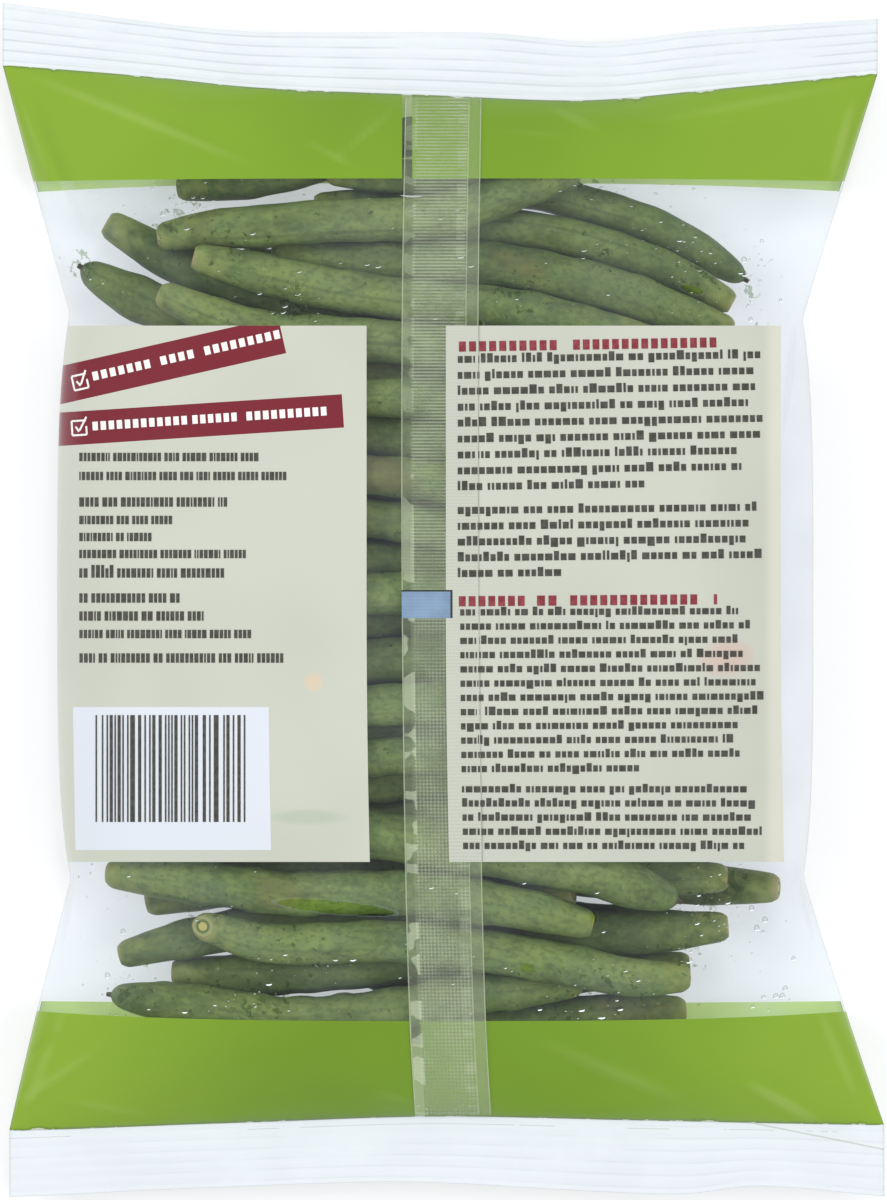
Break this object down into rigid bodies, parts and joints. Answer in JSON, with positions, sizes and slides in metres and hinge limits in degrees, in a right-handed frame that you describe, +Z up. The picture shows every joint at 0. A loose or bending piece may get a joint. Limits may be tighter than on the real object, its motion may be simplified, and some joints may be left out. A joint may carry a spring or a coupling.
{
  "type": "bagged green bean bundle",
  "caption": "Bundle of trimmed green beans lying crosswise in a sealed clear pillow bag with green ends and cream panels.",
  "frame": {"origin": "on the surface the bag lies on, under the middle of the bag", "axes": "+Z up out of the bag's back, +Y towards its top seal, +X across it to the right"},
  "size_m": [0.1846, 0.2499, 0.0402],
  "materials": {
    "clear_film": "thin clear glossy film, printed lime green at both ends and cream in two panels",
    "sealed_film": "crimped double film, hazy white",
    "fin_film": "knurled double film, hazy",
    "bean_skin": "fresh green pod skin, satin, with a fine down"
  },
  "bodies": {
    "root": {"film_tube": "clear_film", "end_seal_top": "sealed_film", "end_seal_bottom": "sealed_film", "fin_seal": "fin_film", "bean_01": "bean_skin", "bean_02": "bean_skin", "bean_03": "bean_skin", "bean_04": "bean_skin", "bean_05": "bean_skin", "bean_06": "bean_skin", "bean_07": "bean_skin", "bean_08": "bean_skin", "bean_09": "bean_skin", "bean_10": "bean_skin", "bean_11": "bean_skin", "bean_12": "bean_skin", "bean_13": "bean_skin", "bean_14": "bean_skin", "bean_15": "bean_skin", "bean_16": "bean_skin", "bean_17": "bean_skin", "bean_18": "bean_skin", "bean_19": "bean_skin", "bean_20": "bean_skin", "bean_21": "bean_skin", "bean_22": "bean_skin", "bean_23": "bean_skin", "bean_24": "bean_skin", "bean_25": "bean_skin", "bean_26": "bean_skin", "bean_27": "bean_skin", "bean_28": "bean_skin", "bean_29": "bean_skin", "bean_30": "bean_skin", "bean_31": "bean_skin", "bean_32": "bean_skin", "bean_33": "bean_skin", "bean_34": "bean_skin", "bean_35": "bean_skin", "bean_36": "bean_skin", "bean_37": "bean_skin", "bean_38": "bean_skin", "bean_39": "bean_skin", "bean_40": "bean_skin", "bean_41": "bean_skin", "bean_42": "bean_skin", "bean_43": "bean_skin", "bean_44": "bean_skin", "bean_45": "bean_skin", "bean_46": "bean_skin", "bean_47": "bean_skin", "bean_48": "bean_skin", "bean_49": "bean_skin", "bean_50": "bean_skin", "bean_51": "bean_skin", "bean_52": "bean_skin", "bean_53": "bean_skin", "bean_54": "bean_skin", "bean_55": "bean_skin", "bean_56": "bean_skin"}
  },
  "joints": []
}
